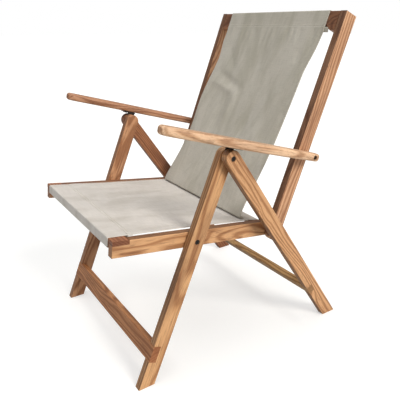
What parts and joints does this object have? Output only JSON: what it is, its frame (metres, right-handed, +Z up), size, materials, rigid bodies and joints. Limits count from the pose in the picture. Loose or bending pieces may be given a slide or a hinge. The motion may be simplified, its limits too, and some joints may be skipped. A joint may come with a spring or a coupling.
{
  "type": "folding deck chair",
  "caption": "Folding wooden deck chair: A-frame legs, seat and back frames linked as a parallelogram, flat armrests and a canvas sling.",
  "frame": {"origin": "on the floor, at the middle of the footprint box of the open chair", "axes": "+X to the sitter's left, -Y the way the sitter faces, +Z up"},
  "size_m": [0.654, 0.7236, 0.9044],
  "materials": {
    "oiled_wood": "oiled hardwood, satin",
    "dowel_wood": "plain turned beech",
    "canvas": "heavy plain-weave cotton canvas, undyed",
    "dark_steel": "blackened steel, satin",
    "plated_steel": "zinc plated"
  },
  "bodies": {
    "front_leg_frame": {"front_leg_left": "oiled_wood", "front_leg_right": "oiled_wood", "front_stretcher": "oiled_wood", "front_stretcher_dowels": "dowel_wood", "leg_pivot_bolt_left": "dark_steel", "leg_pivot_bolt_right": "dark_steel", "leg_pivot_inserts": "plated_steel", "seat_pivot_bolt_left": "dark_steel", "seat_pivot_bolt_right": "dark_steel", "seat_pivot_nuts": "plated_steel", "seat_pivot_washers": "plated_steel"},
    "seat_frame": {"seat_rail_left": "oiled_wood", "seat_rail_right": "oiled_wood", "seat_front_rail": "oiled_wood", "front_rail_dowels": "dowel_wood", "sling_rear_rod": "dowel_wood", "back_pivot_bolt_left": "dark_steel", "back_pivot_bolt_right": "dark_steel", "back_pivot_nuts": "plated_steel", "back_pivot_washers": "plated_steel", "sling_seat": "canvas", "sling_front_sleeve": "canvas", "sling_rear_sleeve": "canvas"},
    "back_frame": {"back_stile_left": "oiled_wood", "back_stile_right": "oiled_wood", "back_top_rail": "oiled_wood", "top_rail_dowels": "dowel_wood", "arm_pivot_bolt_left": "dark_steel", "arm_pivot_bolt_right": "dark_steel", "arm_pivot_inserts": "plated_steel", "arm_pivot_washers": "plated_steel", "sling_back_lower": "canvas", "sling_back_upper": "canvas", "sling_top_sleeve": "canvas"},
    "rear_leg_frame": {"rear_leg_left": "oiled_wood", "rear_leg_right": "oiled_wood", "rear_stretcher": "oiled_wood", "rear_stretcher_dowels": "dowel_wood"},
    "armrest_left_frame": {"armrest_left": "oiled_wood", "arm_bracket_left": "dark_steel", "arm_bracket_screws_left": "dark_steel"},
    "armrest_right_frame": {"armrest_right": "oiled_wood", "arm_bracket_right": "dark_steel", "arm_bracket_screws_right": "dark_steel"}
  },
  "joints": [
    {"name": "seat_fold", "type": "hinge", "parent": "front_leg_frame", "child": "seat_frame", "pos_m": [0, -0.14798, 0.3701], "axis": [-1, 0, 0], "range_deg": [0, 86]},
    {"name": "back_fold", "type": "hinge", "parent": "seat_frame", "child": "back_frame", "pos_m": [0, 0.10795, 0.33749], "axis": [1, 0, 0], "range_deg": [0, 86], "deforming": ["sling_back_lower"]},
    {"name": "rear_leg_swing", "type": "hinge", "parent": "front_leg_frame", "child": "rear_leg_frame", "pos_m": [0, -0.06172, 0.5733], "axis": [-1, 0, 0], "range_deg": [0, 45.9]},
    {"name": "arm_fold_left", "type": "hinge", "parent": "front_leg_frame", "child": "armrest_left_frame", "pos_m": [0, -0.06172, 0.5733], "axis": [-1, 0, 0], "range_deg": [0, 86]},
    {"name": "arm_fold_right", "type": "hinge", "parent": "front_leg_frame", "child": "armrest_right_frame", "pos_m": [0, -0.06172, 0.5733], "axis": [-1, 0, 0], "range_deg": [0, 86]}
  ],
  "couplings": [
    {"joint": "back_fold", "follows": "seat_fold", "ratio": 1},
    {"joint": "rear_leg_swing", "follows": "seat_fold", "ratio": 0.533},
    {"joint": "arm_fold_left", "follows": "seat_fold", "ratio": 1},
    {"joint": "arm_fold_right", "follows": "seat_fold", "ratio": 1}
  ]
}
